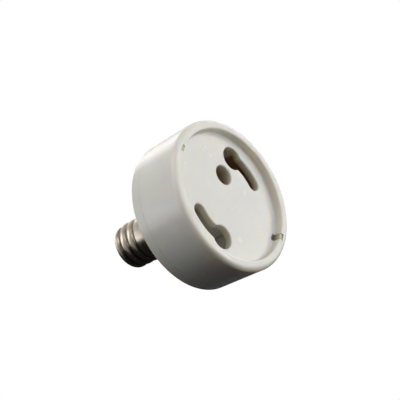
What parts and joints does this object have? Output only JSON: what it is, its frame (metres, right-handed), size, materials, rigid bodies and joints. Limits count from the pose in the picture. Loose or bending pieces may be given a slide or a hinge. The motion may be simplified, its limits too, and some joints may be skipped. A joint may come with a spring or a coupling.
{
  "type": "lamp socket adapter",
  "caption": "Screw-base to twist-lock lamp adapter: a round white moulded body with keyhole pin slots in its recessed face and a small rolled-thread metal screw base behind it.",
  "frame": {"origin": "on the adapter's axis, in the plane of the rim's front edge that it stands on", "axes": "+Z along the axis from the lamp side to the screw base's tip; +X through the locked place of one lamp pin"},
  "size_m": [0.0392, 0.0392, 0.0395],
  "materials": {
    "housing_plastic": "moulded, semi-gloss, warm white",
    "cover_plastic": "moulded, semi-gloss, warm white",
    "zinc_steel": "zinc-plated",
    "contact_bronze": "rolled bronze strip",
    "wire_copper": "tinned copper wire",
    "white_insulation": "satin sleeve",
    "black_insulation": "satin sleeve",
    "solder": "bright solder",
    "shell_nickel": "nickel-plated, rolled",
    "tip_glass": "moulded black glass",
    "eyelet_brass": "pressed brass"
  },
  "bodies": {
    "root": {"front_housing": "housing_plastic", "rear_cover": "cover_plastic", "cover_screw": "zinc_steel", "shell_contact_spring": "contact_bronze", "tip_contact_spring": "contact_bronze", "shell_lead_conductor": "wire_copper", "tip_lead_conductor": "wire_copper", "shell_lead_insulation": "white_insulation", "tip_lead_insulation": "black_insulation", "shell_contact_solder": "solder", "tip_contact_solder": "solder", "screw_shell": "shell_nickel", "tip_insulator": "tip_glass", "centre_contact": "eyelet_brass", "centre_solder": "solder"}
  },
  "joints": []
}
